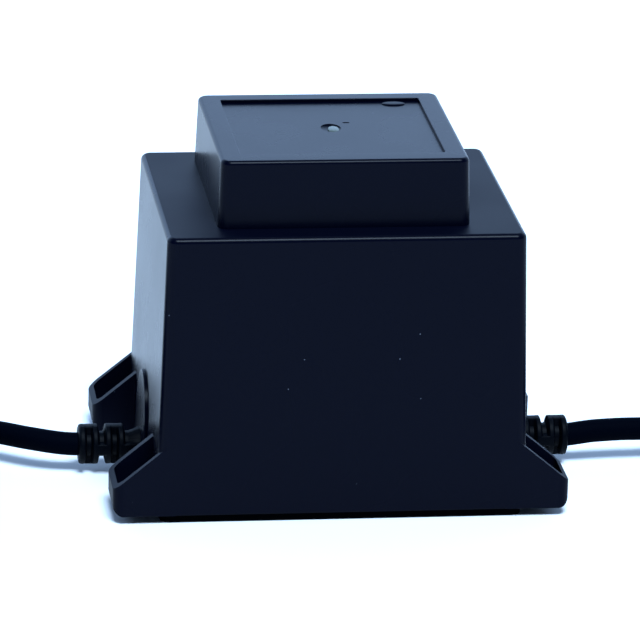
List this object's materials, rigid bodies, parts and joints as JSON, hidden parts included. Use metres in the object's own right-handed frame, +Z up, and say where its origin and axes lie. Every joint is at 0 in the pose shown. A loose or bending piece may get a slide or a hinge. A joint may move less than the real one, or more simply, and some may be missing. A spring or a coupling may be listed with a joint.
{
  "type": "encapsulated low frequency transformer",
  "caption": "Resin filled low frequency safety transformer in a black moulded case with slotted mounting feet, a mains lead with plug and a bare ended output lead.",
  "frame": {"origin": "middle of the base, on the surface that the transformer stands on", "axes": "+Z up, +X towards the output lead, +Y to the back"},
  "size_m": [0.3979, 0.1015, 0.1061],
  "materials": {
    "case_plastic": "moulded black plastic with a satin gloss",
    "base_plastic": "moulded black plastic, matt",
    "potting_resin": "cast black epoxy resin",
    "core_steel": "stacked silicon steel laminations with a thin oxide",
    "bobbin_plastic": "moulded natural polyamide",
    "copper_wire": "enamelled copper wire",
    "winding_tape": "yellow polyester tape",
    "fuse_metal": "drawn metal can",
    "cable_rubber": "extruded black cable jacket",
    "relief_rubber": "moulded flexible black strain relief",
    "splice_plastic": "blue crimp sleeve",
    "tie_plastic": "black hook and loop tie",
    "plug_rubber": "moulded black plug",
    "pin_metal": "nickel plated brass",
    "core_insulation": "extruded core insulation, one brown and one blue",
    "tinned_copper": "tinned copper tips"
  },
  "bodies": {
    "root": {"case": "case_plastic", "base_plate": "base_plastic", "potting_resin": "potting_resin", "core_e_stack": "core_steel", "core_i_stack": "core_steel", "bobbin": "bobbin_plastic", "primary_winding": "copper_wire", "secondary_winding": "copper_wire", "primary_tape": "winding_tape", "secondary_tape": "winding_tape", "thermal_fuse": "fuse_metal", "input_cable_entry": "cable_rubber", "output_cable_entry": "cable_rubber", "input_splices": "splice_plastic", "output_splices": "splice_plastic", "primary_tails": "copper_wire", "secondary_tails": "copper_wire", "input_strain_relief": "relief_rubber", "output_strain_relief": "relief_rubber", "input_cord": "cable_rubber", "input_coil": "cable_rubber", "input_coil_tie": "tie_plastic", "plug_body": "plug_rubber", "plug_pins": "pin_metal", "plug_pin_sleeves": "plug_rubber", "output_cord": "cable_rubber", "output_coil": "cable_rubber", "output_coil_tie": "tie_plastic", "output_core_ends": "core_insulation", "output_ferrules": "tinned_copper"}
  },
  "joints": []
}
